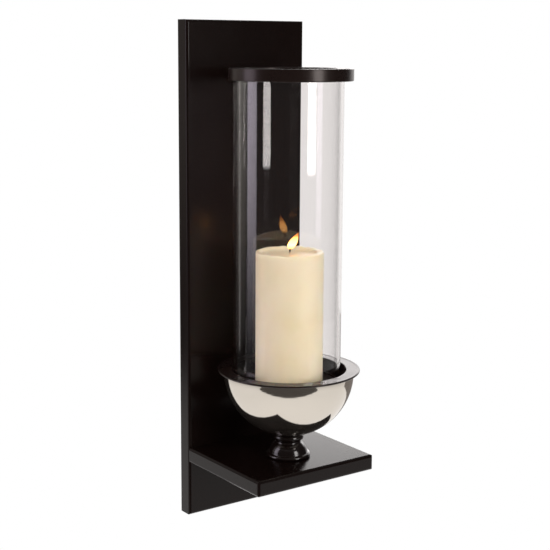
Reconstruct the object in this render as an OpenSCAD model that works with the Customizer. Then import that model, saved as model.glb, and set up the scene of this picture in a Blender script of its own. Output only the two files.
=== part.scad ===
// Wall sconce candle holder: a lacquered back board and shelf carry a turned pedestal and a metal
// bowl. A dish hangs in the bowl and holds a pillar candle inside a glass cylinder, and a metal
// ring caps the glass.
//
// Frame: millimetres. The wall is the plane y = 0 and the holder stands in front of it, at y < 0.
// +X points right for someone facing the wall, +Z points up. The origin is the point on the wall
// midway between the two keyhole entry holes.

/* [Back board] */
// Width of the back board
board_w = 160; // [130:1:200]
// Height of the back board
board_h = 570; // [540:1:640]
// Thickness of the back board
board_t = 18; // [16:1:22]
// Radius of the eased front edges of the board and the shelf
ease_r = 3; // [1:0.5:4]

/* [Shelf] */
// Depth of the shelf in front of the board
shelf_d = 140; // [130:1:160]
// Thickness of the shelf
shelf_t = 18; // [16:1:22]
// Height of the shelf's underside above the board's lower end
shelf_rise = 64; // [50:1:80]

/* [Pedestal] */
// Distance from the board's front face to the axis of the pedestal, bowl and candle
reach = 85; // [82:1:100]
// Radius of the pedestal's foot
foot_r = 25; // [22:0.5:28]
// Height of the pedestal from the shelf to the lowest point of the bowl
pedestal_h = 25.5; // [25.5:0.5:30]
// Radius of the waist between the foot and the upper bead
waist_r = 14.6; // [13:0.1:15]
// Radius of the upper bead
bead_r = 17.4; // [16:0.1:19]

/* [Bowl] */
// Outside radius of the bowl
bowl_r = 73; // [70:0.5:74]
// Wall thickness of the bowl
bowl_t = 1.5; // [1:0.1:2]
// Straight collar above the bowl's half sphere
bowl_collar = 1.7; // [1:0.1:4]

/* [Dish] */
// Outside radius of the dish's flange
flange_r = 79.8; // [78:0.1:81]
// Thickness of the flange
flange_t = 2.3; // [1.5:0.1:3]
// Inside radius of the dish's cup
cup_r = 64.4; // [63.8:0.1:65]
// Depth of the cup's floor below the flange's top face
cup_depth = 16; // [12:0.5:20]
// Sheet thickness of the cup
cup_t = 2; // [1.5:0.1:2.5]

/* [Glass] */
// Outside radius of the glass cylinder
glass_r = 60.6; // [60:0.1:61]
// Wall thickness of the glass
glass_t = 3; // [2:0.5:4]
// Height of the glass cylinder
glass_h = 348; // [330:1:360]
// How far the loose glass stands from the bowl's axis, along X
glass_shift_x = -2.3; // [-2.4:0.1:2.4]
// How far the loose glass stands from the bowl's axis, along Y
glass_shift_y = 1.6; // [-1.7:0.1:1.7]

/* [Top ring] */
// Outside radius of the top ring
ring_r = 68; // [67:0.5:69]
// Height of the top ring
ring_h = 13.5; // [10:0.5:16]
// Sheet thickness of the top ring
ring_t = 1.8; // [1.2:0.1:2]
// Radius of the ring's opening
ring_open_r = 51.8; // [48:0.1:52]

/* [Candle] */
// Radius of the pillar candle
candle_r = 38; // [35:0.5:40]
// Height of the pillar candle
candle_h = 150; // [100:5:150]
// Radius of the melted pool
pool_r = 32.5; // [28:0.5:33]
// Depth of the melted pool below the candle's rim
pool_depth = 4.5; // [2:0.5:8]
// Radius of the wick
wick_r = 1; // [0.8:0.1:1.5]
// Height of the upright part of the wick above the pool's floor
wick_rise = 3.5; // [2:0.5:6]
// Radius of the bend at the wick's tip
wick_bend_r = 5; // [4:0.5:8]

/* [Hanging hardware] */
// Vertical distance between the two keyhole entry holes
keyhole_spacing = 350; // [300:10:370]
// Radius of a keyhole's entry hole
keyhole_r = 4.8; // [4.5:0.1:5.5]
// Width of a keyhole's slot
keyhole_slot_w = 4.6; // [4:0.1:5]
// Length of a keyhole's slot above the entry hole's centre
keyhole_slot_l = 11; // [9:0.5:12]
// Thickness of a hanger plate
plate_t = 1.5; // [1:0.1:2]
// Width of a hanger plate
plate_w = 18; // [16:1:22]
// Length of a hanger plate
plate_l = 52; // [50:1:60]
// Depth of the pocket that takes the wall screw's head
head_pocket_depth = 9; // [7:0.5:11]

/* [Fasteners] */
// Shank radius of the screws that hold the shelf
shelf_screw_r = 2.5; // [2:0.1:3]
// Length of the screws that hold the shelf
shelf_screw_l = 60; // [50:5:70]
// Radius of the shelf dowels
dowel_r = 4; // [3:0.5:5]
// Length of the shelf dowels
dowel_l = 36; // [30:2:40]
// Shank radius of the bolt through the shelf, pedestal and bowl
bolt_r = 3; // [2.5:0.5:4]

/* [Hidden] */
$fn = 96;

// Clearance between a fastener and its hole
slip = 0.1;
// Overshoot of a cutting shape past the face that it cuts
over = 1;

// Heights
board_low = -325;
shelf_low = board_low + shelf_rise;
shelf_top = shelf_low + shelf_t;
shelf_mid = shelf_low + shelf_t / 2;
bowl_low = shelf_top + pedestal_h;
bowl_mid = bowl_low + bowl_r;
bowl_rim = bowl_mid + bowl_collar;
flange_top = bowl_rim + flange_t;
cup_floor = flange_top - cup_depth;
glass_top = cup_floor + glass_h;
ring_low = glass_top + ring_t - ring_h;
candle_top = cup_floor + candle_h;

// Axis of the pedestal, bowl, dish and candle
axis_y = -board_t - reach;

// Pedestal profile
foot_h = 4.4;
dome_r = 16;
dome_at = [5.7, 3.2];
dome_top = 16.5;
bead_half = 3.6;
bead_mid = 22.9;
seat_r = 13;

// Bowl fasteners
bolt_head_r = 6;
bolt_head_h = 3.4;
bolt_socket_r = 2.3;
bolt_socket_depth = 2.4;
bolt_l = shelf_t + pedestal_h + 13;
bolt_thread_l = 16;
washer_r = 9;
washer_t = 1.6;
washer_drop = sqrt(pow(bowl_r - bowl_t, 2) - pow(washer_r, 2));
washer_low = bowl_mid - washer_drop + 0.02;
nut_flats = 10;
nut_h = 5;

// Shelf fasteners
shelf_screw_x = [-50, 0, 50];
shelf_screw_head_r = 5;
shelf_screw_pitch = 3;
dowel_x = [-25, 25];
dowel_depth = 12;
dowel_groove_r = 0.5;
dowel_grooves = 8;

// Hanger plates: heights are taken from a keyhole's entry hole
plate_mid = 4;
plate_screw_gap = 20;
plate_screw_r = 1.75;
plate_screw_head_r = 3.3;
plate_screw_l = 12;
plate_screw_pitch = 1.5;
head_pocket_r = 7;

// Melted candle rim
candle_edge_r = 2.2;
pool_shift = [-1.8, 1.3];
pool_wall_r = 5;
wick_lean = 8;
wick_bend_deg = 62;
wick_base = 4;
wick_overlap = 0.3;
wick_step = 0.05;

// A rectangle from the origin with both corners at its far end rounded: x is its width, centred,
// and y runs from -depth to 0
module eased_outline(width, depth, radius) {
    translate([-width / 2, -depth + radius]) square([width, depth - radius]);
    translate([-width / 2 + radius, -depth]) square([width - 2 * radius, radius]);
    for (side = [-1, 1])
        translate([side * (width / 2 - radius), -depth + radius]) circle(radius);
}

// A slab from y = -depth to 0 and z = 0 to height, with its edges at the far face rounded
module eased_slab(width, depth, height, radius) {
    intersection() {
        linear_extrude(height) eased_outline(width, depth, radius);
        translate([0, 0, height / 2]) rotate([0, 90, 0])
            linear_extrude(width + 2 * over, center = true) eased_outline(height, depth, radius);
    }
}

// A straight-sided slot outline with round ends, from z_low to z_high on a vertical line
module slot_outline(half_width, z_low, z_high) {
    translate([-half_width, z_low]) square([2 * half_width, z_high - z_low]);
    translate([0, z_low]) circle(half_width);
    translate([0, z_high]) circle(half_width);
}

// Stands a flat x-z outline up against the wall plane, from y = -depth to y = front
module into_board(depth, front = 0) {
    translate([0, front, 0]) rotate([90, 0, 0]) linear_extrude(depth + front) children();
}

// A countersunk screw that points up, its head's flat face at z = 0
module countersunk_screw(head_r, head_h, shank_r, length, pitch) {
    tip_l = 2 * shank_r;
    thread_low = length / 3;
    turns = floor((length - tip_l - thread_low) / pitch);
    core_r = 0.75 * shank_r;
    difference() {
        union() {
            cylinder(h = head_h, r1 = head_r, r2 = shank_r);
            cylinder(h = thread_low, r = shank_r);
            for (turn = [0 : turns - 1])
                translate([0, 0, thread_low + turn * pitch])
                    cylinder(h = pitch, r1 = shank_r, r2 = core_r);
            translate([0, 0, thread_low]) cylinder(h = length - tip_l - thread_low, r = core_r);
            translate([0, 0, length - tip_l]) cylinder(h = tip_l, r1 = core_r, r2 = 0.1);
        }
        for (turn = [0, 90])
            rotate([0, 0, turn])
                translate([-0.55 * head_r, -0.11 * head_r, -over])
                    cube([1.1 * head_r, 0.22 * head_r, over + 0.55 * head_h]);
    }
}

// The space that a countersunk screw needs in the wood
module countersunk_hole(head_r, head_h, shank_r, length) {
    cylinder(h = head_h, r1 = head_r + slip, r2 = shank_r + slip);
    cylinder(h = length + slip, r = shank_r + slip);
    translate([0, 0, -over]) cylinder(h = over, r = head_r + slip);
}

// Places a child, modelled pointing up, so that it points from the wall plane into the board
module from_wall(x, z, depth = 0) {
    translate([x, -depth, z]) rotate([90, 0, 0]) children();
}

module at_axis(z) {
    translate([0, axis_y, z]) children();
}

module at_glass(z) {
    translate([glass_shift_x, axis_y + glass_shift_y, z]) children();
}

module shelf_screw_holes() {
    for (x = shelf_screw_x)
        from_wall(x, shelf_mid)
            countersunk_hole(shelf_screw_head_r, shelf_screw_head_r / 2, shelf_screw_r, shelf_screw_l);
}

module dowel_holes() {
    for (x = dowel_x)
        from_wall(x, shelf_mid, board_t - dowel_depth)
            cylinder(h = dowel_l + slip, r = dowel_r + slip);
}

module hanger_pocket(entry_z) {
    translate([0, 0, entry_z]) {
        into_board(plate_t, over)
            translate([0, plate_mid]) plate_outline(slip);
        into_board(head_pocket_depth, over)
            slot_outline(head_pocket_r, 0, keyhole_slot_l);
        for (side = [-1, 1])
            translate([0, -plate_t, plate_mid + side * plate_screw_gap]) rotate([90, 0, 0])
                cylinder(h = plate_screw_l - plate_t + slip, r = plate_screw_r + slip);
    }
}

module plate_outline(grow = 0) {
    half = plate_w / 2;
    slot_outline(half + grow, -plate_l / 2 + half, plate_l / 2 - half);
}

module hanger_plate(entry_z) {
    translate([0, 0, entry_z]) difference() {
        into_board(plate_t) translate([0, plate_mid]) plate_outline();
        into_board(plate_t + over, over) circle(keyhole_r);
        into_board(plate_t + over, over)
            slot_outline(keyhole_slot_w / 2, 0, keyhole_slot_l);
        for (side = [-1, 1])
            from_wall(0, plate_mid + side * plate_screw_gap)
                countersunk_hole(
                    plate_screw_head_r, plate_screw_head_r / 2, plate_screw_r, plate_screw_l
                );
    }
}

module back_board() {
    color([0.10, 0.07, 0.06]) difference() {
        translate([0, 0, board_low]) eased_slab(board_w, board_t, board_h, ease_r);
        hanger_pocket(keyhole_spacing / 2);
        hanger_pocket(-keyhole_spacing / 2);
        shelf_screw_holes();
        dowel_holes();
    }
}

module shelf() {
    color([0.13, 0.10, 0.08]) difference() {
        intersection() {
            translate([0, -board_t, shelf_low]) eased_slab(board_w, shelf_d, shelf_t, ease_r);
            translate([0, 0, shelf_mid]) rotate([90, 0, 0])
                linear_extrude(board_t + shelf_d + over) eased_section();
        }
        shelf_screw_holes();
        dowel_holes();
        at_axis(shelf_low) countersunk_hole(bolt_head_r, bolt_head_h, bolt_r, shelf_t + over);
    }
}

// The shelf's section across its width, with its four long edges rounded
module eased_section() {
    eased_outline(board_w, shelf_t / 2, ease_r);
    mirror([0, 1]) eased_outline(board_w, shelf_t / 2, ease_r);
}

module shelf_dowels() {
    color([0.80, 0.65, 0.45]) for (x = dowel_x)
        from_wall(x, shelf_mid, board_t - dowel_depth) difference() {
            cylinder(h = dowel_l, r = dowel_r);
            for (groove = [0 : dowel_grooves - 1])
                rotate([0, 0, groove * 360 / dowel_grooves])
                    translate([dowel_r, 0, -over]) cylinder(h = dowel_l + 2 * over, r = dowel_groove_r);
        }
}

module shelf_screws() {
    color([0.65, 0.62, 0.52]) for (x = shelf_screw_x)
        from_wall(x, shelf_mid)
            countersunk_screw(
                shelf_screw_head_r, shelf_screw_head_r / 2, shelf_screw_r, shelf_screw_l,
                shelf_screw_pitch
            );
}

module hanger_plate_upper() {
    color([0.72, 0.72, 0.70]) hanger_plate(keyhole_spacing / 2);
}

module hanger_plate_lower() {
    color([0.72, 0.72, 0.70]) hanger_plate(-keyhole_spacing / 2);
}

module hanger_screws() {
    color([0.65, 0.62, 0.52])
        for (entry_z = [-keyhole_spacing / 2, keyhole_spacing / 2])
            for (side = [-1, 1])
                from_wall(0, entry_z + plate_mid + side * plate_screw_gap)
                    countersunk_screw(
                        plate_screw_head_r, plate_screw_head_r / 2, plate_screw_r, plate_screw_l,
                        plate_screw_pitch
                    );
}

module pedestal() {
    color([0.07, 0.05, 0.05]) at_axis(shelf_top) difference() {
        rotate_extrude() difference() {
            union() {
                square([foot_r - foot_h / 2, foot_h]);
                translate([foot_r - foot_h / 2, foot_h / 2])
                    intersection() {
                        circle(foot_h / 2);
                        translate([-over, -foot_h]) square([foot_r, 2 * foot_h]);
                    }
                intersection() {
                    translate(dome_at) circle(dome_r);
                    translate([0, foot_h / 2]) square([foot_r, dome_top - foot_h / 2]);
                }
                square([waist_r, bead_mid]);
                translate([bead_r - bead_half, bead_mid]) circle(bead_half);
                square([bead_r - bead_half, bead_mid + bead_half]);
                square([seat_r, pedestal_h + 2 * over]);
            }
            square([bolt_r + slip, pedestal_h + 3 * over]);
        }
        translate([0, 0, pedestal_h + bowl_r]) sphere(bowl_r);
    }
}

module bowl() {
    color([0.80, 0.76, 0.70]) at_axis(bowl_mid) rotate_extrude() {
        intersection() {
            difference() {
                circle(bowl_r);
                circle(bowl_r - bowl_t);
            }
            translate([bolt_r + slip, -bowl_r]) square([bowl_r, bowl_r]);
        }
        translate([bowl_r - bowl_t, 0]) square([bowl_t, bowl_collar]);
    }
}

module bowl_bolt() {
    thread_low = bolt_l - bolt_thread_l;
    color([0.62, 0.62, 0.60]) at_axis(shelf_low) difference() {
        union() {
            cylinder(h = bolt_head_h, r1 = bolt_head_r, r2 = bolt_r);
            cylinder(h = thread_low, r = bolt_r);
            for (turn = [0 : bolt_thread_l - 1])
                translate([0, 0, thread_low + turn]) cylinder(h = 1, r1 = bolt_r, r2 = bolt_r - 0.5);
        }
        translate([0, 0, -over])
            cylinder(h = over + bolt_socket_depth, r = bolt_socket_r, $fn = 6);
    }
}

module bowl_washer() {
    color([0.72, 0.72, 0.70]) at_axis(washer_low) difference() {
        cylinder(h = washer_t, r = washer_r);
        translate([0, 0, -over]) cylinder(h = washer_t + 2 * over, r = bolt_r + 2 * slip);
    }
}

module bowl_nut() {
    color([0.72, 0.72, 0.70]) at_axis(washer_low + washer_t) difference() {
        cylinder(h = nut_h, r = nut_flats / sqrt(3), $fn = 6);
        translate([0, 0, -over]) cylinder(h = nut_h + 2 * over, r = bolt_r + slip / 2);
    }
}

// Half section of a cup's solid, from its floor at z = -depth up to z = 0
module cup_outline(radius, depth, corner) {
    translate([0, -depth + corner]) square([radius, depth - corner]);
    translate([0, -depth]) square([radius - corner, corner]);
    translate([radius - corner, -depth + corner]) circle(corner);
}

module dish() {
    edge_r = flange_t / 2;
    color([0.16, 0.12, 0.11]) at_axis(flange_top) rotate_extrude() {
        difference() {
            cup_outline(cup_r + cup_t, cup_depth + cup_t, cup_t + 2);
            cup_outline(cup_r, cup_depth, 2);
        }
        translate([cup_r, -flange_t]) square([flange_r - edge_r - cup_r, flange_t]);
        translate([flange_r - edge_r, -edge_r]) circle(edge_r);
    }
}

module glass_cylinder() {
    edge_r = glass_t / 2;
    color([0.85, 0.90, 0.90, 0.4]) at_glass(cup_floor) rotate_extrude()
        translate([glass_r - edge_r, 0]) slot_outline(edge_r, edge_r, glass_h - edge_r);
}

// Half section of the ring: a top plate with an outer skirt and a short inner lip
module top_ring() {
    half = ring_t / 2;
    lip_low = ring_h / 2;
    color([0.16, 0.11, 0.10]) at_axis(ring_low) rotate_extrude() {
        translate([ring_r - half, 0]) slot_outline(half, half, ring_h - half);
        translate([ring_open_r + half, 0]) slot_outline(half, lip_low, ring_h - half);
        translate([ring_open_r + half, ring_h - ring_t])
            square([ring_r - ring_open_r - ring_t, ring_t]);
    }
}

module candle() {
    pool_floor = candle_h - pool_depth;
    color([0.92, 0.86, 0.72]) at_axis(cup_floor) difference() {
        rotate_extrude() {
            square([candle_r, candle_h - candle_edge_r]);
            square([candle_r - candle_edge_r, candle_h]);
            translate([candle_r - candle_edge_r, candle_h - candle_edge_r]) circle(candle_edge_r);
        }
        translate([pool_shift[0], pool_shift[1], pool_floor]) rotate_extrude() {
            square([pool_r - pool_wall_r, pool_depth + over]);
            translate([pool_r - pool_wall_r, pool_wall_r])
                intersection() {
                    circle(pool_wall_r);
                    translate([-over, -pool_wall_r]) square([2 * pool_wall_r, pool_depth + over]);
                }
        }
        translate([0, 0, wick_base]) cylinder(h = candle_h, r = wick_r + slip);
    }
}

module wick() {
    bend_low = candle_h - pool_depth + wick_rise;
    color([0.10, 0.08, 0.07]) at_axis(cup_floor) {
        translate([0, 0, wick_base]) cylinder(h = bend_low - wick_base + wick_overlap, r = wick_r);
        rotate([0, 0, -90 - wick_lean]) translate([wick_bend_r, 0, bend_low])
            rotate([90, 0, 0]) rotate([0, 0, 180 - wick_bend_deg])
                rotate_extrude(angle = wick_bend_deg)
                    translate([wick_bend_r, 0]) circle(wick_r - wick_step);
    }
}

back_board();
shelf();
shelf_dowels();
shelf_screws();
hanger_plate_upper();
hanger_plate_lower();
hanger_screws();
pedestal();
bowl();
bowl_bolt();
bowl_washer();
bowl_nut();
dish();
glass_cylinder();
top_ring();
candle();
wick();
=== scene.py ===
"""Wall sconce candle holder: its turned metalwork, glass, candle and finishes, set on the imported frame."""
import math

import bmesh
import bpy
from mathutils import Matrix, Vector, noise


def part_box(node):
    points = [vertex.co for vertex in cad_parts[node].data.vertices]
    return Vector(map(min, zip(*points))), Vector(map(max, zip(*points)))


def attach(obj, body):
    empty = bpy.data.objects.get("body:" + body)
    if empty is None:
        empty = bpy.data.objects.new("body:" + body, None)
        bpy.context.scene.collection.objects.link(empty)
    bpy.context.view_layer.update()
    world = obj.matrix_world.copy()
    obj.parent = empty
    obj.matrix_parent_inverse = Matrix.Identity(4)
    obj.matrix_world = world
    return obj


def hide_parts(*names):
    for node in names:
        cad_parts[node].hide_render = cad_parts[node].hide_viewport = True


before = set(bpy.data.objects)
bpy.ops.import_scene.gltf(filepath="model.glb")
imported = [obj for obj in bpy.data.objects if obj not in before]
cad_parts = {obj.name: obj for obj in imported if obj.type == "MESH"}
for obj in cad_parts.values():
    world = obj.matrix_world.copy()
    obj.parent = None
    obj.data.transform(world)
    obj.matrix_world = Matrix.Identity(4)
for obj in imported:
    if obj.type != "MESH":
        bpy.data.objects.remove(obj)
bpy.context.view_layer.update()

bl_info = {
    "name": "Wall Sconce",
    "version": (1, 0, 0),
    "blender": (4, 5, 0),
    "location": "3D View > Sidebar > Sconce",
    "description": "Builds a hurricane candle sconce on its fixed frame",
    "category": "Object",
}

FULL_TURN = 2 * math.pi
SHARP_ANGLE = math.radians(32)
FLOOR_RADIUS = 6.5
BACKDROP_WAY = (0.585, 0.811, 0.0)
BACKDROP_GLOW = 3.0


# ---------------------------------------------------------------- node trees


def maths_step(operation):
    """A method that joins a wire and another value, in that order, with a Math node."""
    def step(self, other):
        return self.graph.maths(operation, self, other)
    return step


def reflected_step(operation):
    """A method that joins them with the other value first."""
    def step(self, other):
        return self.graph.maths(operation, other, self)
    return step


class Wire:
    """An output socket that takes part in ordinary arithmetic."""

    def __init__(self, graph, socket):
        self.graph = graph
        self.socket = socket

    def __getitem__(self, name):
        """Another output of the same node."""
        return Wire(self.graph, self.socket.node.outputs[name])

    __add__ = maths_step("ADD")
    __radd__ = reflected_step("ADD")
    __sub__ = maths_step("SUBTRACT")
    __rsub__ = reflected_step("SUBTRACT")
    __mul__ = maths_step("MULTIPLY")
    __rmul__ = reflected_step("MULTIPLY")
    __truediv__ = maths_step("DIVIDE")
    __rtruediv__ = reflected_step("DIVIDE")


class Graph:
    """A node tree being built, for a surface, the surroundings or geometry."""

    def __init__(self, tree):
        self.tree = tree
        tree.nodes.clear()

    def node(self, kind, settings=None, inputs=None, output=0):
        """Adds a node: its settings first, then the values or links of its sockets."""
        made = self.tree.nodes.new(kind)
        for name, value in (settings or {}).items():
            if name == "stops":
                set_stops(made.color_ramp, value)
            else:
                setattr(made, name, value)
        for key, value in (inputs or {}).items():
            self.feed(made.inputs[key], value)
        return Wire(self, made.outputs[output]) if made.outputs else made

    def feed(self, socket, value):
        """Links a wire to a socket, or sets the socket's own value."""
        if isinstance(value, Wire):
            self.tree.links.new(value.socket, socket)
        else:
            socket.default_value = value

    def maths(self, operation, *values):
        return self.node("ShaderNodeMath", {"operation": operation}, dict(enumerate(values)))

    def vectors(self, operation, *values):
        return self.node("ShaderNodeVectorMath", {"operation": operation}, dict(enumerate(values)))

    def blend(self, factor, first, second):
        """A colour between two others."""
        return self.node(
            "ShaderNodeMix", {"data_type": "RGBA"}, {0: factor, 6: first, 7: second}, output=2
        )

    def between(self, value, low, high):
        """0 below low and 1 above high, with a smooth rise."""
        settings = {"interpolation_type": "SMOOTHSTEP"}
        return self.node("ShaderNodeMapRange", settings, {0: value, 1: low, 2: high})


def set_stops(ramp, stops):
    """Gives a colour ramp its places and colours."""
    while len(ramp.elements) < len(stops):
        ramp.elements.new(1.0)
    for element, (place, colour) in zip(ramp.elements, stops):
        element.position = place
        element.color = (*colour, 1.0)


class Finish(Graph):
    """A surface: one Principled shader, with constants on its own sockets."""

    def __init__(self, name, **constants):
        self.material = bpy.data.materials.new(name)
        self.material.use_nodes = True
        super().__init__(self.material.node_tree)
        self.shader = self.node("ShaderNodeBsdfPrincipled").socket.node
        for socket, value in constants.items():
            self.shader.inputs[socket.replace("_", " ")].default_value = value
        surface = Wire(self, self.shader.outputs["BSDF"])
        self.node("ShaderNodeOutputMaterial", inputs={"Surface": surface})
        self.place = self.node("ShaderNodeTexCoord")["Object"]

    def drive(self, **wires):
        """Feeds varying values to the shader's sockets."""
        for socket, wire in wires.items():
            self.feed(self.shader.inputs[socket.replace("_", " ")], wire)

    def height(self):
        """Height of the shaded point above the frame's origin."""
        return self.node("ShaderNodeSeparateXYZ", inputs={0: self.place})["Z"]

    def stretched(self, scale):
        """Object coordinates, scaled along each axis."""
        return self.node("ShaderNodeMapping", inputs={"Vector": self.place, "Scale": scale})

    def mottle(self, scale, detail=3.0, where=None):
        """Smooth random shading from 0 to 1."""
        inputs = {"Vector": where or self.place, "Scale": scale, "Detail": detail, "Roughness": 0.55}
        return self.node("ShaderNodeTexNoise", inputs=inputs)

    def relief(self, height, strength, depth):
        """A bump from a height pattern, its depth in metres."""
        return self.node(
            "ShaderNodeBump", inputs={"Height": height, "Strength": strength, "Distance": depth}
        )


# ------------------------------------------------------------------ finishes


def opaque(colour):
    """A colour with full alpha."""
    return (*colour[:3], 1.0)


def lacquer(name, colour, warm):
    """Dark satin lacquer over wood: faint grain along Z and a slight orange peel."""
    finish = Finish(name, Base_Color=opaque(colour), IOR=1.48, Specular_IOR_Level=0.18)
    grain = finish.mottle(1.0, 5.0, finish.stretched((260, 260, 14)))
    cloud = finish.mottle(9.0)
    tone = grain * 0.6 + cloud * 0.4
    peel = finish.mottle(620.0, 2.0)
    finish.drive(
        Base_Color=finish.blend(tone, opaque(colour), opaque(warm)),
        Roughness=finish.mottle(34.0) * 0.08 + 0.18,
        Normal=finish.relief(peel * 0.7 + grain * 0.3, 0.05, 0.0002),
    )
    return finish.material


def nickel(name, colour):
    """Polished nickel: warm, nearly mirror bright, with faint turning lines and haze."""
    finish = Finish(name, Base_Color=opaque(colour), Metallic=0.98, Roughness=0.07)
    haze = finish.mottle(26.0, 4.0)
    turning = finish.mottle(1.0, 2.0, finish.stretched((6, 6, 2400)))
    tarnish = tuple(0.94 * c for c in colour[:3])
    finish.drive(
        Base_Color=finish.blend(haze, opaque(colour), opaque(tarnish)),
        Roughness=haze * 0.05 + turning * 0.03 + 0.035,
        Normal=finish.relief(turning, 0.03, 0.00004),
    )
    return finish.material


def bronze(name, colour, worn):
    """Oil-rubbed bronze: dark brown metal with a satin glow and slightly rubbed patches."""
    finish = Finish(
        name, Base_Color=opaque(colour), Metallic=0.4, Specular_IOR_Level=0.35, Coat_Weight=0.12,
        Coat_Roughness=0.16,
    )
    patches = finish.mottle(38.0, 4.0)
    fine = finish.mottle(480.0, 2.0)
    finish.drive(
        Base_Color=finish.blend(patches * 0.9 + fine * 0.1, opaque(colour), opaque(worn)),
        Roughness=patches * 0.10 + fine * 0.03 + 0.22,
        Normal=finish.relief(fine, 0.02, 0.0001),
    )
    return finish.material


def black_gloss(name, colour, warm):
    """Thick black-brown enamel on turned wood."""
    finish = Finish(name, Base_Color=opaque(colour), Coat_Weight=0.15, Coat_Roughness=0.08)
    cloud = finish.mottle(60.0)
    finish.drive(
        Base_Color=finish.blend(cloud, opaque(colour), opaque(warm)),
        Roughness=cloud * 0.08 + 0.14,
        Normal=finish.relief(finish.mottle(420.0, 2.0), 0.05, 0.0001),
    )
    return finish.material


def clear_glass(name, colour):
    """Blown clear glass with a slow, very slight waviness."""
    finish = Finish(
        name, Base_Color=opaque(colour), Transmission_Weight=1.0, IOR=1.47, Roughness=0.0
    )
    wave = finish.mottle(1.0, 1.0, finish.stretched((20, 20, 5)))
    finish.drive(Normal=finish.relief(wave, 0.025, 0.001))
    return finish.material


def ivory_wax(name, colour, deep, pool):
    """Cast wax: cloudy ivory, waxy glow, and a smoother yellower pool at the top."""
    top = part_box("candle")[1].z
    finish = Finish(
        name,
        Base_Color=opaque(colour),
        Subsurface_Weight=0.35,
        Subsurface_Radius=(0.012, 0.007, 0.004),
        Subsurface_Scale=1.0,
        Specular_IOR_Level=0.35,
    )
    cloud = finish.mottle(22.0, 4.0) * 0.6 + finish.mottle(7.0) * 0.4
    body = finish.blend(finish.between(cloud, 0.32, 0.68), opaque(colour), opaque(deep))
    melted = finish.between(finish.height(), top - 0.0065, top - 0.0035)
    finish.drive(
        Base_Color=finish.blend(melted * 0.6, body, opaque(pool)),
        Roughness=cloud * 0.12 + 0.42 - melted * 0.16,
        Normal=finish.relief(finish.mottle(150.0, 4.0), 0.10, 0.0004),
    )
    return finish.material


def charred_cotton(name, colour, char):
    """Cotton wick: pale in the wax and burnt black where it stands clear."""
    finish = Finish(name, Base_Color=opaque(colour), Roughness=0.9)
    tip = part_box("wick")[1].z
    burnt = finish.between(finish.height(), tip - 0.0075, tip - 0.0045)
    fibre = finish.mottle(2400.0, 2.0)
    finish.drive(
        Base_Color=finish.blend(burnt, opaque(colour), opaque(char)),
        Roughness=fibre * 0.2 + 0.75,
        Normal=finish.relief(fibre, 0.4, 0.0001),
    )
    return finish.material


def zinc(name, colour):
    """Zinc-plated steel with a faint spangle."""
    finish = Finish(name, Base_Color=opaque(colour), Metallic=1.0)
    spangle = finish.node(
        "ShaderNodeTexVoronoi", inputs={"Vector": finish.place, "Scale": 700.0, "Randomness": 1.0}
    )
    dull = finish.mottle(90.0)
    shade = tuple(0.72 * c for c in colour[:3])
    finish.drive(
        Base_Color=finish.blend(dull, opaque(colour), opaque(shade)),
        Roughness=spangle["Distance"] * 0.15 + dull * 0.12 + 0.22,
        Normal=finish.relief(dull, 0.08, 0.0001),
    )
    return finish.material


def beech(name, colour, dark):
    """Plain beech dowel stock, its grain along Y."""
    finish = Finish(name, Base_Color=opaque(colour), Roughness=0.6)
    grain = finish.mottle(1.0, 6.0, finish.stretched((900, 60, 900)))
    finish.drive(
        Base_Color=finish.blend(grain, opaque(colour), opaque(dark)),
        Roughness=grain * 0.15 + 0.52,
        Normal=finish.relief(grain, 0.2, 0.0002),
    )
    return finish.material


def flame_glow(name, low, high):
    """A candle flame: a clear foot, a bright yellow-white heart and an orange tip."""
    finish = Finish(name, Base_Color=(0.0, 0.0, 0.0, 1.0), Roughness=1.0, Emission_Strength=7.0)
    share = (finish.height() - low) / (high - low)
    heat = finish.node("ShaderNodeValToRGB", {"stops": FLAME_STOPS}, {"Fac": share})
    rim = finish.node("ShaderNodeLayerWeight", inputs={"Blend": 0.5})["Facing"]
    body = finish.between(share, -0.02, 0.16)
    thin = 1 - finish.between(share, 0.72, 1.05) * 0.45
    finish.drive(
        Emission_Color=heat,
        Alpha=body * thin * (1 - finish.between(rim, 0.55, 1.0) * 0.75),
    )
    return finish.material


FLAME_STOPS = [
    (0.0, (0.10, 0.045, 0.012)),
    (0.12, (0.55, 0.26, 0.075)),
    (0.30, (1.0, 0.48, 0.14)),
    (0.60, (0.80, 0.33, 0.08)),
    (0.80, (0.26, 0.080, 0.016)),
    (1.0, (0.10, 0.026, 0.005)),
]


# ------------------------------------------------------------------ outlines
# An outline is a list of (radius, height) points in metres.


def arc(centre, radius, start, end, steps=12):
    """Points round part of a circle, its angles in degrees from straight outwards."""
    angles = [math.radians(start + (end - start) * i / steps) for i in range(steps + 1)]
    return [(centre[0] + radius * math.cos(a), centre[1] + radius * math.sin(a)) for a in angles]


def bow(start, pull, end, steps=10):
    """Points on a smooth curve from start to end, drawn towards the point pull."""
    shares = [i / steps for i in range(steps + 1)]
    return [
        tuple((1 - t) ** 2 * a + 2 * t * (1 - t) * b + t * t * c for a, b, c in zip(start, pull, end))
        for t in shares
    ]


def held(outline, closed, margin=0.0004):
    """The outline with a point close to both ends of each long straight, to keep its shading true."""
    ends = outline[1:] + outline[:1] if closed else outline[1:]
    points = []
    for here, there in zip(outline, ends):
        points.append(here)
        length = math.dist(here, there)
        if length > 3 * margin:
            for share in (margin / length, 1 - margin / length):
                points.append(tuple(a + (b - a) * share for a, b in zip(here, there)))
    return points + [ends[-1]]


# ------------------------------------------------------------ geometry trees


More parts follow.
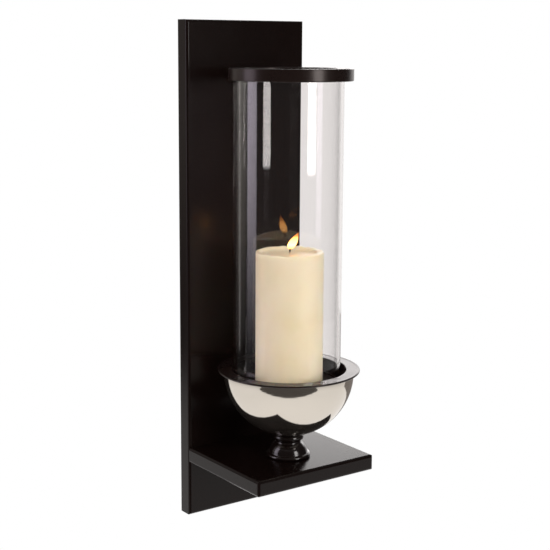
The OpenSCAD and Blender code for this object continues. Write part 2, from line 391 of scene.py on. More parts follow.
def new_tree(name, inputs):
    """An empty geometry tree with a geometry input, the named inputs and a geometry output."""
    tree = bpy.data.node_groups.new(name, "GeometryNodeTree")
    tree.interface.new_socket("Geometry", in_out="OUTPUT", socket_type="NodeSocketGeometry")
    tree.interface.new_socket("Geometry", in_out="INPUT", socket_type="NodeSocketGeometry")
    for label, kind in inputs:
        tree.interface.new_socket(label, in_out="INPUT", socket_type="NodeSocket" + kind)
    graph = Graph(tree)
    return graph, graph.node("NodeGroupInput")


def end_tree(graph, geometry, finish):
    """Realizes the geometry, gives it its finish and sends it out."""
    real = graph.node("GeometryNodeRealizeInstances", inputs={0: geometry})
    dressed = graph.node("GeometryNodeSetMaterial", inputs={"Geometry": real, "Material": finish})
    graph.node("NodeGroupOutput", inputs={"Geometry": dressed})
    return graph.tree


def turning_tree():
    """Turns an outline in the X-Z plane round a vertical axis."""
    graph, given = new_tree("Turning", [("Centre", "Vector"), ("Steps", "Int"), ("Finish", "Material")])
    outline = given["Geometry"]
    count = graph.node(
        "GeometryNodeAttributeDomainSize", {"component": "MESH"}, {"Geometry": outline}
    )["Point Count"]
    grid = graph.node(
        "GeometryNodeMeshGrid",
        inputs={"Size X": 1.0, "Size Y": 1.0, "Vertices X": given["Steps"] + 1, "Vertices Y": count},
    )
    index = graph.node("GeometryNodeInputIndex")
    turn = graph.maths("FLOOR", (index + 0.5) / count)
    along = index - turn * count
    point = graph.node(
        "GeometryNodeSampleIndex",
        {"data_type": "FLOAT_VECTOR", "domain": "POINT"},
        {"Geometry": outline, "Value": graph.node("GeometryNodeInputPosition"), "Index": along},
    )
    swung = graph.node(
        "ShaderNodeVectorRotate",
        {"rotation_type": "Z_AXIS"},
        {"Vector": point, "Angle": turn * FULL_TURN / given["Steps"]},
    )
    placed = graph.node(
        "GeometryNodeSetPosition",
        inputs={"Geometry": grid["Mesh"], "Position": graph.vectors("ADD", swung, given["Centre"])},
    )
    merged = graph.node("GeometryNodeMergeByDistance", inputs={"Geometry": placed, "Distance": 2e-6})
    smooth = graph.node("GeometryNodeSetShadeSmooth", inputs={"Geometry": merged, "Shade Smooth": True})
    return end_tree(graph, smooth, given["Finish"])


def fixing_tree():
    """Puts a fastener on each point, each turned by its own random angle about Y."""
    graph, given = new_tree("Fixings", [("Fastener", "Object"), ("Seed", "Int"), ("Finish", "Material")])
    shape = graph.node("GeometryNodeObjectInfo", inputs={"Object": given["Fastener"]})["Geometry"]
    angle = graph.node(
        "FunctionNodeRandomValue",
        {"data_type": "FLOAT"},
        {2: 0.0, 3: FULL_TURN, "Seed": given["Seed"]},
        output=1,
    )
    turn = graph.node("ShaderNodeCombineXYZ", inputs={"Y": angle})
    placed = graph.node(
        "GeometryNodeInstanceOnPoints",
        inputs={"Points": given["Geometry"], "Instance": shape, "Rotation": turn},
    )
    return end_tree(graph, placed, given["Finish"])


def braid_tree():
    """Twists a number of strands along a path."""
    inputs = [
        ("Strands", "Int"),
        ("Strand Radius", "Float"),
        ("Twist Radius", "Float"),
        ("Turns", "Float"),
        ("Rings", "Int"),
        ("Finish", "Material"),
    ]
    graph, given = new_tree("Braid", inputs)
    path = graph.node("GeometryNodeMeshToCurve", inputs={"Mesh": given["Geometry"]})
    path = graph.node("GeometryNodeResampleCurve", inputs={"Curve": path, "Count": given["Rings"]})
    copies = graph.node(
        "GeometryNodeDuplicateElements",
        {"domain": "SPLINE"},
        {"Geometry": path, "Amount": given["Strands"]},
    )
    progress = graph.node("GeometryNodeSplineParameter")["Factor"]
    phase = copies["Duplicate Index"] / given["Strands"] + progress * given["Turns"]
    across = graph.node("GeometryNodeInputNormal")
    beside = graph.vectors("CROSS_PRODUCT", graph.node("GeometryNodeInputTangent"), across)
    out = graph.node(
        "ShaderNodeVectorRotate",
        {"rotation_type": "AXIS_ANGLE"},
        {
            "Vector": graph.node(
                "ShaderNodeVectorMath", {"operation": "SCALE"}, {0: across, "Scale": given["Twist Radius"]}
            ),
            "Axis": graph.vectors("CROSS_PRODUCT", across, beside),
            "Angle": phase * FULL_TURN,
        },
    )
    moved = graph.node("GeometryNodeSetPosition", inputs={"Geometry": copies["Geometry"], "Offset": out})
    ring = graph.node(
        "GeometryNodeCurvePrimitiveCircle", inputs={"Resolution": 8, "Radius": given["Strand Radius"]}
    )
    strands = graph.node(
        "GeometryNodeCurveToMesh",
        inputs={"Curve": moved, "Profile Curve": ring["Curve"], "Fill Caps": True},
    )
    smooth = graph.node("GeometryNodeSetShadeSmooth", inputs={"Geometry": strands, "Shade Smooth": True})
    return end_tree(graph, smooth, given["Finish"])


def grown(name, source, tree, values):
    """A plain mesh object made by putting a source mesh through a geometry tree."""
    piece = bpy.data.objects.new(name, source)
    bpy.context.scene.collection.objects.link(piece)
    modifier = piece.modifiers.new(tree.name, "NODES")
    modifier.node_group = tree
    for item in tree.interface.items_tree:
        if item.in_out == "INPUT" and item.name in values:
            modifier[item.identifier] = values[item.name]
    bake_down(piece)
    if not piece.data.polygons:
        raise RuntimeError(f"{name} came out of its geometry tree empty")
    return piece


def bake_down(piece):
    """Replaces a piece's mesh by its evaluated one, drops its modifiers and turns its faces outwards."""
    piece.update_tag()
    bpy.context.view_layer.update()
    graph = bpy.context.evaluated_depsgraph_get()
    mesh = bpy.data.meshes.new_from_object(piece.evaluated_get(graph))
    piece.modifiers.clear()
    piece.data = mesh
    work = bmesh.new()
    work.from_mesh(mesh)
    bmesh.ops.remove_doubles(work, verts=work.verts, dist=1e-6)
    bmesh.ops.recalc_face_normals(work, faces=work.faces)
    work.to_mesh(mesh)
    work.free()
    mesh.set_sharp_from_angle(angle=SHARP_ANGLE)


def chain(name, points):
    """A mesh of points joined in a line."""
    mesh = bpy.data.meshes.new(name)
    mesh.from_pydata(points, [(i, i + 1) for i in range(len(points) - 1)], [])
    return mesh


def turned(name, outline, centre, finish, closed=False, steps=160):
    """A piece turned from an outline round the vertical line through centre."""
    points = [(radius, 0.0, height) for radius, height in held(outline, closed)]
    values = {"Centre": tuple(centre), "Steps": steps, "Finish": finish}
    return grown(name, chain(name, points), turning_tree(), values)


def settle(piece, body, slot, *nodes):
    """Makes a finished piece ride on its body in place of its CAD nodes; the slot is not used."""
    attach(piece, body)
    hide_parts(*nodes)


def dress(nodes, material):
    """Gives CAD nodes that keep their own shape a better finish."""
    for name in nodes:
        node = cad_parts[name]
        for slot in node.material_slots:
            slot.material = material


def middle(node):
    """A node's centre line and foot: the middle of its box in X and Y, and its lowest Z."""
    low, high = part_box(node)
    return Vector((round((low.x + high.x) / 2, 4), round((low.y + high.y) / 2, 4), low.z))


# ---------------------------------------------------------------- properties


def length(name, description, default):
    return bpy.props.FloatProperty(
        name=name, description=description, default=default, min=0.0, unit="LENGTH", precision=5
    )


def colour(name, description, default):
    return bpy.props.FloatVectorProperty(
        name=name, description=description, default=default, min=0.0, max=1.0, size=3, subtype="COLOR"
    )


class SconceSizes(bpy.types.PropertyGroup):
    """Wall thicknesses and edge roundings that the frame's boxes don't give."""

    bowl_wall: length("Bowl wall", "Thickness of the spun bowl", 0.0015)
    bolt_hole: length("Bolt hole", "Radius of the hole under the bowl", 0.0032)
    flange_thickness: length("Flange", "Thickness of the dish's flange", 0.0023)
    cup_radius: length("Cup", "Inner radius of the dish's cup", 0.0644)
    cup_wall: length("Cup wall", "Thickness of the cup", 0.002)
    ring_wall: length("Ring wall", "Thickness of the top ring's metal", 0.0018)
    ring_opening: length("Ring opening", "Radius of the opening in the top ring", 0.0518)
    glass_wall: length("Glass wall", "Thickness of the glass", 0.003)
    pool_radius: length("Pool", "Radius of the melted pool", 0.0325)
    pool_depth: length("Pool depth", "Depth of the melted pool", 0.0045)
    flame_height: length("Flame", "Height of the flame", 0.0215)
    flame_radius: length("Flame width", "Widest radius of the flame", 0.0052)


class SconceColours(bpy.types.PropertyGroup):
    """The main colour of each finish and its lighter or darker partner."""

    lacquer: colour("Lacquer", "Board and shelf", (0.0040, 0.0020, 0.0017))
    lacquer_warm: colour("Lacquer grain", "Lighter grain in the lacquer", (0.0080, 0.0037, 0.0029))
    enamel: colour("Enamel", "Pedestal", (0.0055, 0.0035, 0.0032))
    enamel_warm: colour("Enamel clouds", "Warmer patches on the pedestal", (0.0105, 0.0060, 0.0050))
    nickel: colour("Nickel", "Bowl", (0.60, 0.555, 0.495))
    bronze: colour("Bronze", "Dish and top ring", (0.011, 0.0058, 0.0050))
    bronze_worn: colour("Rubbed bronze", "Rubbed patches", (0.021, 0.0120, 0.0100))
    glass: colour("Glass", "Cylinder", (0.985, 0.975, 0.972))
    wax: colour("Wax", "Candle", (0.86, 0.77, 0.585))
    wax_deep: colour("Deep wax", "Cloudier wax", (0.80, 0.695, 0.46))
    wax_pool: colour("Pool", "Melted wax", (0.90, 0.80, 0.56))
    cotton: colour("Cotton", "Unburnt wick", (0.72, 0.66, 0.52))
    char: colour("Char", "Burnt wick", (0.010, 0.008, 0.007))
    zinc: colour("Zinc", "Plates, screws, bolt, washer and nut", (0.62, 0.63, 0.62))
    beech: colour("Beech", "Dowels", (0.55, 0.38, 0.22))
    beech_dark: colour("Beech grain", "Darker grain in the dowels", (0.38, 0.24, 0.12))


class SconceStage(bpy.types.PropertyGroup):
    """Camera and studio light."""

    camera_place: bpy.props.FloatVectorProperty(
        name="Camera", description="Where the camera stands", default=(-0.8062, -1.1923, 0.2183),
        size=3, subtype="TRANSLATION", unit="LENGTH",
    )
    camera_azimuth: bpy.props.FloatProperty(
        name="Azimuth", description="Side that the camera looks from", default=math.radians(-35.812),
        subtype="ANGLE",
    )
    camera_elevation: bpy.props.FloatProperty(
        name="Elevation", description="How far the camera looks down", default=math.radians(9.915),
        subtype="ANGLE",
    )
    camera_roll: bpy.props.FloatProperty(
        name="Roll", description="Tilt of the camera", default=math.radians(0.335), subtype="ANGLE"
    )
    lens: bpy.props.FloatProperty(
        name="Lens", description="Focal length", default=81.10, min=10.0, unit="CAMERA"
    )
    lens_shift: bpy.props.FloatProperty(
        name="Shift", description="Vertical lens shift, in frame widths", default=-0.0255
    )
    floor_drop: length("Floor", "Height of the sconce's lowest edge over the floor", 1.2)
    backdrop_level: bpy.props.FloatProperty(
        name="Backdrop", description="Brightness behind the sconce", default=0.86, min=0.0
    )
    ambient_level: bpy.props.FloatProperty(
        name="Ambient", description="Brightness of the rest of the room", default=0.05, min=0.0
    )
    ceiling_level: bpy.props.FloatProperty(
        name="Ceiling", description="Brightness overhead", default=0.35, min=0.0
    )


GROUPS = {"sconce_sizes": SconceSizes, "sconce_colours": SconceColours, "sconce_stage": SconceStage}


# ------------------------------------------------------------------ operators


class SCONCE_OT_woodwork(bpy.types.Operator):
    """Finish the lacquered board and shelf, and the dowels between them"""

    bl_idname = "sconce.woodwork"
    bl_label = "Woodwork"

    def execute(self, context):
        tones = context.scene.sconce_colours
        dress(["back_board", "shelf"], lacquer("gloss_lacquer", tones.lacquer, tones.lacquer_warm))
        dress(["shelf_dowels"], beech("beech_dowel", tones.beech, tones.beech_dark))
        return {"FINISHED"}


class SCONCE_OT_hardware(bpy.types.Operator):
    """Finish the hanger plates and the bowl's bolt, and make the wood screws"""

    bl_idname = "sconce.hardware"
    bl_label = "Hardware"

    def execute(self, context):
        plating = zinc("zinc_plate", context.scene.sconce_colours.zinc)
        dress(
            ["hanger_plate_upper", "hanger_plate_lower", "bowl_bolt", "bowl_washer", "bowl_nut"], plating
        )
        shelf_low, shelf_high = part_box("shelf")
        shelf_mid = (shelf_low.z + shelf_high.z) / 2
        long_screw = wood_screw("long_screw", plating, head=0.005, shank=0.0025, reach=0.06, pitch=0.003)
        self.fix("shelf_screws", long_screw, [(x, 0, shelf_mid) for x in (-0.05, 0, 0.05)], plating, 3)
        short_screw = wood_screw(
            "short_screw", plating, head=0.0033, shank=0.00175, reach=0.012, pitch=0.0015
        )
        places = []
        for plate in ("hanger_plate_lower", "hanger_plate_upper"):
            low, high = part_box(plate)
            plate_mid = (low.z + high.z) / 2
            places += [(0, 0, plate_mid + side * 0.02) for side in (-1, 1)]
        self.fix("hanger_screws", short_screw, places, plating, 5)
        return {"FINISHED"}

    def fix(self, node, screw, places, plating, seed):
        """One piece with a screw at each place, in the CAD node's stead."""
        points = bpy.data.meshes.new(node + "_places")
        points.from_pydata(places, [], [])
        values = {"Fastener": screw, "Seed": seed, "Finish": plating}
        piece = grown(node + "_made", points, fixing_tree(), values)
        bpy.data.objects.remove(screw)
        settle(piece, "sconce", "zinc_steel", node)


def wood_screw(name, finish, head, shank, reach, pitch):
    """A countersunk screw along -Y with its head's face on the wall plane."""
    tip = 2 * shank
    smooth = reach / 3
    root = 0.75 * shank
    turns = int((reach - tip - smooth) / pitch)
    outline = [(0, 0), (head * 0.97, 0), (head, head * 0.04), (shank, head / 2), (shank, smooth)]
    for turn in range(turns):
        start = smooth + turn * pitch
        outline += [(root, start + 0.55 * pitch), (shank * 0.97, start + 0.9 * pitch)]
        outline.append((shank, start + pitch))
    outline += [(root, reach - tip), (root * 0.9, reach - tip * 0.8), (0, reach)]
    screw = turned(name, outline, (0, 0, 0), finish, steps=32)
    cutter = bpy.data.objects.new(name + "_recess", cross(head * 1.1, head * 0.22, head * 0.55))
    bpy.context.scene.collection.objects.link(cutter)
    cut = screw.modifiers.new("Recess", "BOOLEAN")
    cut.object = cutter
    cut.solver = "EXACT"
    bake_down(screw)
    bpy.data.objects.remove(cutter)
    screw.data.transform(Matrix.Rotation(math.radians(90), 4, "X"))
    return screw


def cross(width, thickness, depth):
    """A closed cross-shaped cutter that narrows into the screw."""
    half, slim = width / 2, thickness / 2
    corners = [(slim, half), (slim, slim), (half, slim)]
    plan = []
    for _ in range(4):
        plan += corners
        corners = [(y, -x) for x, y in corners]
    work = bmesh.new()
    rims = []
    for height, size in ((-depth, 1.0), (depth, 0.55)):
        rims.append([work.verts.new((x * size, y * size, height)) for x, y in plan])
    for rim in rims:
        work.faces.new(rim)
    for i in range(len(plan)):
        j = (i + 1) % len(plan)
        work.faces.new((rims[0][i], rims[0][j], rims[1][j], rims[1][i]))
    bmesh.ops.recalc_face_normals(work, faces=work.faces)
    mesh = bpy.data.meshes.new("cross")
    work.to_mesh(mesh)
    work.free()
    return mesh


class SCONCE_OT_pedestal(bpy.types.Operator):
    """Turn the small pedestal with its foot, dome, waist and bead"""

    bl_idname = "sconce.pedestal"
    bl_label = "Pedestal"

    def execute(self, context):
        tones = context.scene.sconce_colours
        hole = context.scene.sconce_sizes.bolt_hole
        bowl_low, bowl_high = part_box("bowl")
        foot = middle("pedestal")
        bowl_radius = (bowl_high.x - bowl_low.x) / 2
        bowl_centre = bowl_low.z + bowl_radius - foot.z
        outline = [(hole, 0)]
        outline += arc((0.0228, 0.0022), 0.0022, -90, 58)
        outline += bow((0.02275, 0.00435), (0.0216, 0.0044), (0.02152, 0.0058), 6)
        outline += arc((0.0057, 0.0032), 0.0160, 10, 54, 24)
        outline += bow((0.01460, 0.0166), (0.0137, 0.0180), (0.01450, 0.0193))
        outline += arc((0.0138, 0.0229), 0.0036, -78, 70, 20)
        outline += bow((0.0150, 0.0263), (0.0138, 0.0265), (0.0129, 0.0263), 6)
        seat = bowl_radius + 0.00005
        for radius in (0.0129, 0.009, 0.006, hole):
            outline.append((radius, bowl_centre - math.sqrt(seat**2 - radius**2)))
        finish = black_gloss("black_enamel", tones.enamel, tones.enamel_warm)
        piece = turned("pedestal_made", outline, foot, finish, closed=True, steps=128)
        settle(piece, "sconce", "pedestal_black", "pedestal")
        return {"FINISHED"}


class SCONCE_OT_bowl(bpy.types.Operator):
    """Spin the nickel bowl"""

    bl_idname = "sconce.bowl"
    bl_label = "Bowl"

    def execute(self, context):
        sizes = context.scene.sconce_sizes
        low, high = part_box("bowl")
        outer = (high.x - low.x) / 2
        inner = outer - sizes.bowl_wall
        lip = sizes.bowl_wall / 2
        rim = high.z - low.z - outer - lip
        start = -90 + math.degrees(math.asin(sizes.bolt_hole / outer))
        end = -90 + math.degrees(math.asin(sizes.bolt_hole / inner))
        outline = arc((0, 0), outer, start, 0, 60) + arc((outer - lip, rim), lip, 0, 180, 10)
        outline += arc((0, 0), inner, 0, end, 60)
        centre = middle("bowl") + Vector((0, 0, outer))
        finish = nickel("polished_nickel_bowl", context.scene.sconce_colours.nickel)
        piece = turned("bowl_made", outline, centre, finish, closed=True, steps=192)
        settle(piece, "sconce", "polished_nickel", "bowl")
        return {"FINISHED"}


class SCONCE_OT_dish(bpy.types.Operator):
    """Turn the bronze dish: its cup and its wide flange"""

    bl_idname = "sconce.dish"
    bl_label = "Dish"

    def execute(self, context):
        sizes = context.scene.sconce_sizes
        low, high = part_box("dish")
        edge = sizes.flange_thickness / 2
        reach = (high.x - low.x) / 2 - edge
        cup, wall = sizes.cup_radius, sizes.cup_wall
        depth = high.z - low.z
        ease = 0.0009
        outline = [(0, -depth)] + arc((cup - wall, -depth + 2 * wall), 2 * wall, -90, 0)
        outline += arc((cup + wall + ease, -2 * edge - ease), ease, 180, 90, 6)
        outline += arc((reach, -edge), edge, -90, 90, 12)
        outline += [(reach - 0.0012, -0.00004), (reach - 0.0020, -0.00022)]
        outline += arc((cup + ease, -ease - 0.0002), ease, 90, 180, 8)
        outline += arc((cup - wall, -depth + 2 * wall), wall, 0, -90) + [(0, -depth + wall)]
        centre = middle("dish") + Vector((0, 0, depth))
        tones = context.scene.sconce_colours
        finish = bronze("rubbed_bronze_dish", tones.bronze, tones.bronze_worn)
        piece = turned("dish_made", outline, centre, finish, steps=192)
        settle(piece, "dish_body", "dark_bronze", "dish")
        return {"FINISHED"}


class SCONCE_OT_ring(bpy.types.Operator):
    """Turn the bronze ring that caps the glass: skirt, flat top and inner lip"""

    bl_idname = "sconce.ring"
    bl_label = "Top ring"

    def execute(self, context):
        sizes = context.scene.sconce_sizes
        low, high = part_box("top_ring")
        outer, tall = (high.x - low.x) / 2, high.z - low.z
        wall, opening = sizes.ring_wall, sizes.ring_opening
        half = wall / 2
        ease = 0.0011
        lip_foot = tall / 2
        outline = arc((outer - ease, tall - ease), ease, 0, 90, 8)
        outline += arc((opening + ease, tall - ease), ease, 90, 180, 8)
        outline += arc((opening + half, lip_foot + half), half, 180, 360, 10)
        outline += [(opening + wall, tall - wall), (outer - wall, tall - wall)]
        outline += arc((outer - half, half), half, 180, 360, 10)
        tones = context.scene.sconce_colours
        finish = bronze("rubbed_bronze_ring", tones.bronze, tones.bronze_worn)
        piece = turned("top_ring_made", outline, middle("top_ring"), finish, closed=True, steps=192)
        settle(piece, "ring_body", "dark_bronze", "top_ring")
        return {"FINISHED"}


class SCONCE_OT_glass(bpy.types.Operator):
    """Make the open glass cylinder with fire-polished ends"""

    bl_idname = "sconce.glass"
    bl_label = "Glass"

    def execute(self, context):
        low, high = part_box("glass_cylinder")
        wall = context.scene.sconce_sizes.glass_wall
        outer, tall = (high.x - low.x) / 2, high.z - low.z
        half = wall / 2
        outline = arc((outer - half, half), half, 180, 360, 12)
        outline += arc((outer - half, tall - half), half, 0, 180, 12)
        finish = clear_glass("clear_glass_wall", context.scene.sconce_colours.glass)
        centre = middle("glass_cylinder")
        piece = turned("glass_made", outline, centre, finish, closed=True, steps=256)
        settle(piece, "glass_body", "clear_glass", "glass_cylinder")
        # Clear glass dims the wax behind it very little, so it casts no shadow.
        piece.visible_shadow = False
        return {"FINISHED"}


class SCONCE_OT_candle(bpy.types.Operator):
    """Pour the candle, melt its rim and pool, and stand its braided wick in it"""

    bl_idname = "sconce.candle"
    bl_label = "Candle"

    def execute(self, context):
        sizes = context.scene.sconce_sizes
        tones = context.scene.sconce_colours
        low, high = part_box("candle")
        radius, tall = (high.x - low.x) / 2, high.z - low.z
        pool_floor = tall - sizes.pool_depth
        foot = middle("candle")
        outline = [(0, 0)] + arc((radius - 0.001, 0.001), 0.001, -90, 0, 6)
        outline += [(radius, tall * share) for share in (0.2, 0.4, 0.6, 0.8, 0.9, 0.95)]
        outline += arc((radius - 0.0022, tall - 0.0022), 0.0022, 0, 90, 10)
        pool = sizes.pool_radius
        outline += bow((pool + 0.001, tall), (pool, tall), (pool - 0.001, tall - 0.001), 5)
        outline += bow(
            (pool - 0.0014, tall - 0.0018), (pool - 0.003, pool_floor), (pool - 0.010, pool_floor), 12
        )
        outline += [(share * pool, pool_floor) for share in (0.5, 0.35, 0.2, 0.1)]
        outline.append((0, pool_floor))
        finish = ivory_wax("ivory_wax_candle", tones.wax, tones.wax_deep, tones.wax_pool)
        piece = turned("candle_made", outline, foot, finish, steps=192)
        melt(piece.data, foot, tall, radius, sizes.pool_depth)
        settle(piece, "candle_body", "ivory_wax", "candle")
        self.wick(foot, pool_floor, charred_cotton("charred_wick", tones.cotton, tones.char))
        return {"FINISHED"}

    def wick(self, foot, pool_floor, finish):
        """Three twisted strands that stand in the wax and bend over at the top."""
        straight = 0.0035
        bend_low = foot.z + pool_floor + straight
        bend_radius = 0.005
        bend_steps = 12
        heading = math.radians(-98)
        points = [(foot.x, foot.y, z) for z in (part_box("wick")[0].z, bend_low - straight, bend_low)]
        for step in range(1, bend_steps + 1):
            angle = math.radians(62) * step / bend_steps
            out = bend_radius * (1 - math.cos(angle))
            rise = bend_radius * math.sin(angle)
            points.append(
                (foot.x + out * math.cos(heading), foot.y + out * math.sin(heading), bend_low + rise)
            )
        values = {
            "Strands": 3, "Strand Radius": 0.00056, "Twist Radius": 0.00045,
            "Turns": 42.0, "Rings": 900, "Finish": finish,
        }
        piece = grown("wick_made", chain("wick_path", points), braid_tree(), values)
        settle(piece, "candle_body", "wick_cotton", "wick")


def melt(mesh, foot, tall, radius, depth):
    """Softens a new candle: slumps its rim unevenly, shifts its pool and dents its side."""
    for vertex in mesh.vertices:
        out = Vector((vertex.co.x - foot.x, vertex.co.y - foot.y, 0))
        height = vertex.co.z - foot.z
        reach = out.length
        if reach < 1e-6:
            continue
        way = out.normalized()
        near_top = max(0.0, min(1.0, (height - tall + depth) / depth))
        rim = near_top * max(0.0, min(1.0, (reach - radius + 0.010) / 0.004))
        ripple = noise.noise(Vector((way.x, way.y, 0.0)) * 3.1) + 0.4 * noise.noise(way * 9.0)
        vertex.co.z -= rim * (0.0007 + 0.0011 * ripple)
        if height > tall - depth - 1e-5 and reach < radius - 0.002:
            share = max(0.0, 1 - reach / radius)
            vertex.co += Vector((-0.0018, 0.0013, 0.0)) * min(1.0, share * 6)
            vertex.co += way * 0.0008 * ripple * min(1.0, reach / 0.02)
        if height > 0.002:
            dent = noise.noise(Vector((way.x * 1.6, way.y * 1.6, height * 14)))
            vertex.co -= way * (0.00012 + 0.00012 * dent) * min(1.0, reach / radius)


class SCONCE_OT_flame(bpy.types.Operator):
    """Light the candle with a leaning flame"""

    bl_idname = "sconce.flame"
    bl_label = "Flame"

    def execute(self, context):
        sizes = context.scene.sconce_sizes
        tall, wide = sizes.flame_height, sizes.flame_radius
        wick_low, wick_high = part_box("wick")
        base = Vector((-0.0004, wick_low.y + 0.0022, wick_high.z - 0.0035))
        lean = Vector((0.0005, -0.0145, 0.0))
        steps = 40
        outline = [(0.0, 0.0)]
        for step in range(1, steps):
            share = step / steps
            belly = math.sin(math.pi * share**0.74) ** 0.9 * (1 - 0.25 * share)
            outline.append((wide * max(0.0, belly), tall * share))
        outline.append((0.0, tall))
        low, high = base.z, base.z + tall
        piece = turned("candle_flame", outline, base, flame_glow("flame_heat", low, high), steps=48)
        for vertex in piece.data.vertices:
            share = max(0.0, (vertex.co.z - low) / tall)
            vertex.co += lean * share**1.25
        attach(piece, "candle_body")
        return {"FINISHED"}


def outwards(azimuth, elevation=0.0):
    """A direction from its angles in degrees: azimuth 0 is along -Y, and 90 along +X."""
    turn, lift = math.radians(azimuth), math.radians(elevation)
    return Vector((math.sin(turn) * math.cos(lift), -math.cos(turn) * math.cos(lift), math.sin(lift)))


class SCONCE_OT_stage(bpy.types.Operator):
    """Set the floor, studio light, surroundings and camera"""

    bl_idname = "sconce.stage"
    bl_label = "Stage"

    def execute(self, context):
        stage = context.scene.sconce_stage
        context.scene.view_settings.view_transform = "Standard"
        floor_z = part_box("back_board")[0].z - stage.floor_drop
        self.floor(floor_z)
        # The flags' shade values set the strength of their painted glow.
        self.flag("front_flag", floor_z + 0.01, azimuth=-36, near=2.25, width=5.8, shade=0.07)
        self.flag("right_flag", floor_z + 0.02, azimuth=122, near=2.7, width=5.0, shade=0.22)
        self.surroundings(stage)
        self.panel(
            "left_panel", azimuth=-117, distance=2.2, width=0.95, span=(-0.75, 1.6), fade=0.85,
            level=3.0, tint=(0.96, 0.87, 1.0),
        )
        self.panel(
            "left_wash", azimuth=-158, distance=2.2, width=2.1, span=(-0.75, 1.6), fade=0.85,
            level=0.42, tint=(1.0, 0.93, 0.85),
        )
        self.panel(
            "right_panel", azimuth=13, distance=2.4, width=0.75, span=(-0.17, 1.1), fade=0.02,
            level=8.0, tint=(1.0, 0.97, 0.95),
        )
        self.fill(
            "front_fill", azimuth=-50, elevation=30, distance=1.9, size=1.6, power=12.0,
            tint=(1.0, 0.94, 0.86),
        )
        self.camera(stage)
        return {"FINISHED"}

    def floor(self, floor_z):
        """A wide floor with a painted glow, bright near the sconce and fading to grey far off, that only
        reflections and bounced light see.
        """
        sweep = Finish(
            "pale_floor", Base_Color=(0.3, 0.3, 0.3, 1.0), Roughness=0.9, Emission_Strength=0.98
        )
        reach = sweep.node("ShaderNodeVectorMath", {"operation": "LENGTH"}, {0: sweep.place})["Value"]
        # Painted light: the floor's emission is a bright pool near the sconce that fades to dull grey
        # towards its edge.
        far = sweep.between(reach, 3.6, FLOOR_RADIUS)
        sweep.drive(Emission_Color=sweep.blend(far, (1.0, 0.985, 0.965, 1.0), (0.3, 0.29, 0.28, 1.0)))
        work = bmesh.new()
        lowered = Matrix.Translation((0, 0, floor_z))
        bmesh.ops.create_circle(work, cap_ends=True, segments=96, radius=FLOOR_RADIUS, matrix=lowered)
        floor = self.stand("floor", work, sweep.material)
        floor.visible_camera = False
        floor.visible_transmission = False

    def flag(self, name, height, azimuth, near, width, shade):
        """A dark cloth on the floor with a dim painted glow, which only reflections see; it spreads outwards
        from a near edge.
        """
        # Painted light: the cloth's brightness is a dim glow of strength shade on a black base.
        cloth = Finish(
            name + "_cloth", Base_Color=(0.01, 0.01, 0.01, 1.0), Roughness=1.0,
            Emission_Color=(1.0, 0.9, 0.84, 1.0), Emission_Strength=shade,
        )
        way = outwards(azimuth)
        side = outwards(azimuth + 90) * width / 2
        foot = Vector((0, 0, height))
        work = bmesh.new()
        corners = [foot + way * near - side, foot + way * near + side]
        corners += [foot + way * FLOOR_RADIUS + side * 2, foot + way * FLOOR_RADIUS - side * 2]
        work.faces.new([work.verts.new(corner) for corner in corners])
        flag = self.stand(name, work, cloth.material)
        flag.visible_transmission = False
        self.unseen(flag, diffuse=False)

    def unseen(self, item, diffuse):
        """Keeps a stage item out of the camera's direct view and out of shadows."""
        item.visible_camera = False
        item.visible_diffuse = diffuse
        item.visible_shadow = False

    def stand(self, name, work, material):
        """A stage item with one material, from a mesh being built."""
        mesh = bpy.data.meshes.new(name)
        work.to_mesh(mesh)
        work.free()
        mesh.materials.append(material)
        item = bpy.data.objects.new(name, mesh)
        bpy.context.scene.collection.objects.link(item)
        return item

    def surroundings(self, stage):
        """A dim room with a bright backdrop behind the sconce; plain white where nothing stands."""
        world = bpy.data.worlds.new("studio")
        bpy.context.scene.world = world
        world.use_nodes = True
        graph = Graph(world.node_tree)
        way = graph.node("ShaderNodeTexCoord")["Generated"]
        behind = graph.node(
            "ShaderNodeVectorMath", {"operation": "DOT_PRODUCT"}, {0: way, 1: BACKDROP_WAY}
        )["Value"]
        bright = graph.between(behind, math.cos(math.radians(52)), math.cos(math.radians(34)))
        rise = graph.node("ShaderNodeSeparateXYZ", inputs={0: way})["Z"]
        glow = graph.between(rise, 0.05, 0.20) * graph.between(rise, 0.36, 0.29)
        ceiling = graph.between(rise, 0.5, 0.9) * stage.ceiling_level
        level = bright * (glow * BACKDROP_GLOW + stage.backdrop_level) + ceiling + stage.ambient_level
        direct = graph.node("ShaderNodeLightPath")["Is Camera Ray"]
        strength = level * (1 - direct) + direct
        tint = graph.blend(direct, (1.0, 0.968, 0.955, 1.0), (1.0, 1.0, 1.0, 1.0))
        shade = graph.node("ShaderNodeBackground", inputs={"Color": tint, "Strength": strength})
        graph.node("ShaderNodeOutputWorld", inputs={"Surface": shade})

    def panel(self, name, azimuth, distance, width, span, fade, level, tint):
        """An upright soft box that faces the sconce, its brightness rising over its lowest part."""
        low, high = span
        box = Finish(name, Base_Color=(0.0, 0.0, 0.0, 1.0), Roughness=1.0, Emission_Strength=level)
        rise = box.between(box.height(), low, low + fade)
        box.drive(Emission_Color=box.blend(rise, (0.02, 0.02, 0.02, 1.0), opaque(tint)))
        side = outwards(azimuth + 90) * width / 2
        foot = middle("bowl") + outwards(azimuth) * distance
        work = bmesh.new()
        corners = []
        for across, height in ((-1, low), (1, low), (1, high), (-1, high)):
            corner = foot + across * side
            corners.append(work.verts.new((corner.x, corner.y, height)))
        work.faces.new(corners)
        self.unseen(self.stand(name, work, box.material), diffuse=True)

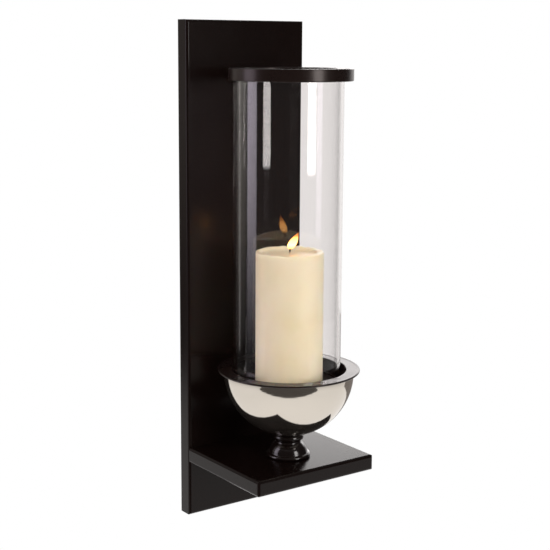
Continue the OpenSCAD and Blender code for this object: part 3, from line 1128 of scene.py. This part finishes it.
    def fill(self, name, azimuth, elevation, distance, size, power, tint):
        """A square light with no reflection of its own, for the shaded side of the wax."""
        lamp = bpy.data.lights.new(name, "AREA")
        lamp.shape = "SQUARE"
        lamp.size = size
        lamp.energy = power
        lamp.color = tint
        back = outwards(azimuth, elevation)
        aim = middle("bowl") * 0.5
        light = bpy.data.objects.new(name, lamp)
        light.location = aim + back * distance
        light.rotation_euler = back.to_track_quat("Z", "Y").to_euler()
        light.visible_camera = False
        light.visible_glossy = False
        bpy.context.scene.collection.objects.link(light)

    def camera(self, stage):
        """The viewing camera, in front and to the left, looking a little down."""
        data = bpy.data.cameras.new("view")
        data.lens = stage.lens
        data.shift_y = stage.lens_shift
        data.clip_start, data.clip_end = 0.02, 60.0
        azimuth = math.degrees(stage.camera_azimuth)
        back = outwards(azimuth, math.degrees(stage.camera_elevation))
        level = outwards(azimuth + 90)
        upright = back.cross(level)
        cos, sin = math.cos(stage.camera_roll), math.sin(stage.camera_roll)
        right, up = cos * level + sin * upright, cos * upright - sin * level
        turn = Matrix((right, up, back)).transposed().to_4x4()
        eye = bpy.data.objects.new("view", data)
        eye.matrix_world = Matrix.Translation(stage.camera_place) @ turn
        bpy.context.scene.collection.objects.link(eye)
        bpy.context.scene.camera = eye


class SCONCE_PT_panel(bpy.types.Panel):
    """Sidebar panel with every step and setting"""

    bl_idname = "SCONCE_PT_panel"
    bl_label = "Wall Sconce"
    bl_space_type = "VIEW_3D"
    bl_region_type = "UI"
    bl_category = "Sconce"

    def draw(self, context):
        for step in STEPS:
            self.layout.operator(step.bl_idname)
        for group, kind in GROUPS.items():
            box = self.layout.box()
            for name in kind.__annotations__:
                box.prop(getattr(context.scene, group), name)


STEPS = (
    SCONCE_OT_stage,
    SCONCE_OT_woodwork,
    SCONCE_OT_hardware,
    SCONCE_OT_pedestal,
    SCONCE_OT_bowl,
    SCONCE_OT_dish,
    SCONCE_OT_ring,
    SCONCE_OT_glass,
    SCONCE_OT_candle,
    SCONCE_OT_flame,
)
CLASSES = (*GROUPS.values(), *STEPS, SCONCE_PT_panel)


def register():
    for kind in CLASSES:
        bpy.utils.register_class(kind)
    for name, kind in GROUPS.items():
        setattr(bpy.types.Scene, name, bpy.props.PointerProperty(type=kind))


def unregister():
    for name in GROUPS:
        delattr(bpy.types.Scene, name)
    for kind in reversed(CLASSES):
        bpy.utils.unregister_class(kind)


def main():
    register()
    for step in STEPS:
        group, name = step.bl_idname.split(".")
        getattr(getattr(bpy.ops, group), name)()


if __name__ == "__main__":
    main()
